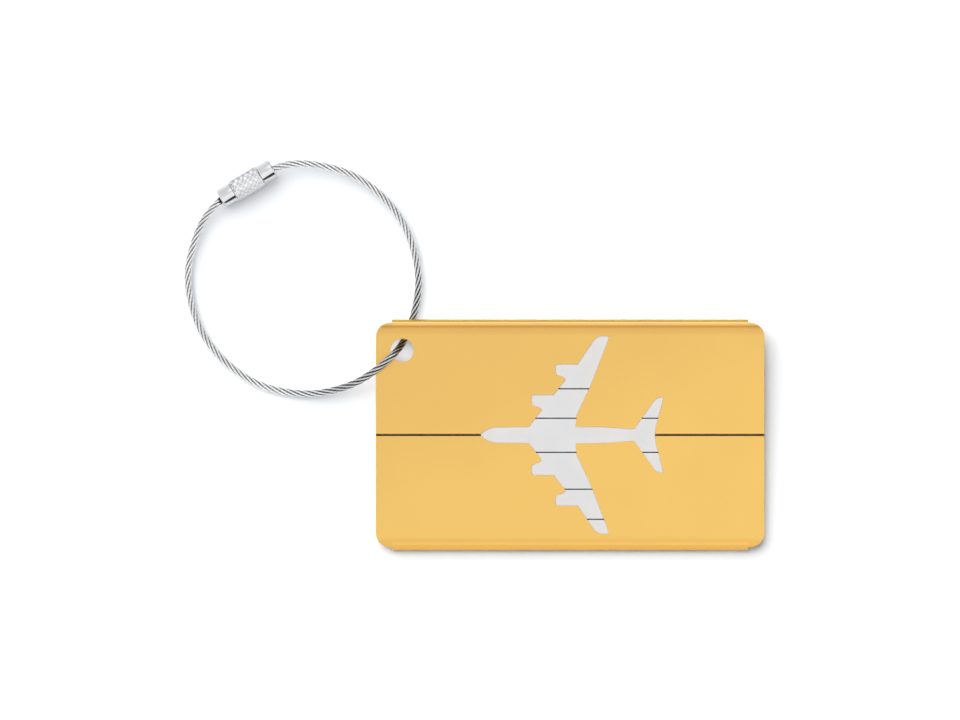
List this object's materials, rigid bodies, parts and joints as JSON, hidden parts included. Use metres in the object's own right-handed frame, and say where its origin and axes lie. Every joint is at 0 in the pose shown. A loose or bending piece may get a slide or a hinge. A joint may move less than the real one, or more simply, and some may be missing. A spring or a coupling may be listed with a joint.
{
  "type": "luggage tag",
  "caption": "Folded aluminium sheet luggage tag with an aeroplane window over a sliding card, on a loop of steel cable closed by a knurled screw connector.",
  "frame": {"origin": "middle of the folded case, halfway through its thickness", "axes": "+X along the case's long side away from the cable hole, +Y along its short side towards the hole's corner, +Z out of the face with the window"},
  "size_m": [0.1198, 0.0807, 0.0074],
  "materials": {
    "anodised_sheet": "gold anodised, fine satin",
    "card": "smooth card with printed rules",
    "wire_rope": "bright stranded steel",
    "plated_connector": "bright nickel plate, turned",
    "knurled_connector": "bright nickel plate, diamond knurl"
  },
  "bodies": {
    "case": {"case_shell": "anodised_sheet"},
    "card": {"id_card": "card"},
    "loop_hole_side": {"cable_hole_side": "wire_rope", "stud_collar": "plated_connector"},
    "loop_far_side": {"cable_far_side": "wire_rope", "swivel_collar": "plated_connector"},
    "nut": {"knurled_nut": "knurled_connector"}
  },
  "joints": [
    {"name": "card_slide", "type": "slide", "parent": "case", "child": "card", "axis": [1, 0, 0], "range_m": [0, 0.08]},
    {"name": "loop_swing", "type": "hinge", "parent": "case", "child": "loop_hole_side", "pos_m": [-0.03528, 0.0178, -0.0001], "axis": [-0.8121, 0.5835, 0], "range_deg": [0, 85]},
    {"name": "loop_open", "type": "hinge", "parent": "loop_hole_side", "child": "loop_far_side", "pos_m": [-0.04245, 0.01079, 0.0009], "axis": [0, 0, 1], "range_deg": [0, 40]},
    {"name": "nut_turn", "type": "hinge", "parent": "loop_far_side", "child": "nut", "pos_m": [-0.06674, 0.05195, -0.0022], "axis": [0.8581, 0.5135, 0], "range_deg": [0, 3040]}
  ]
}
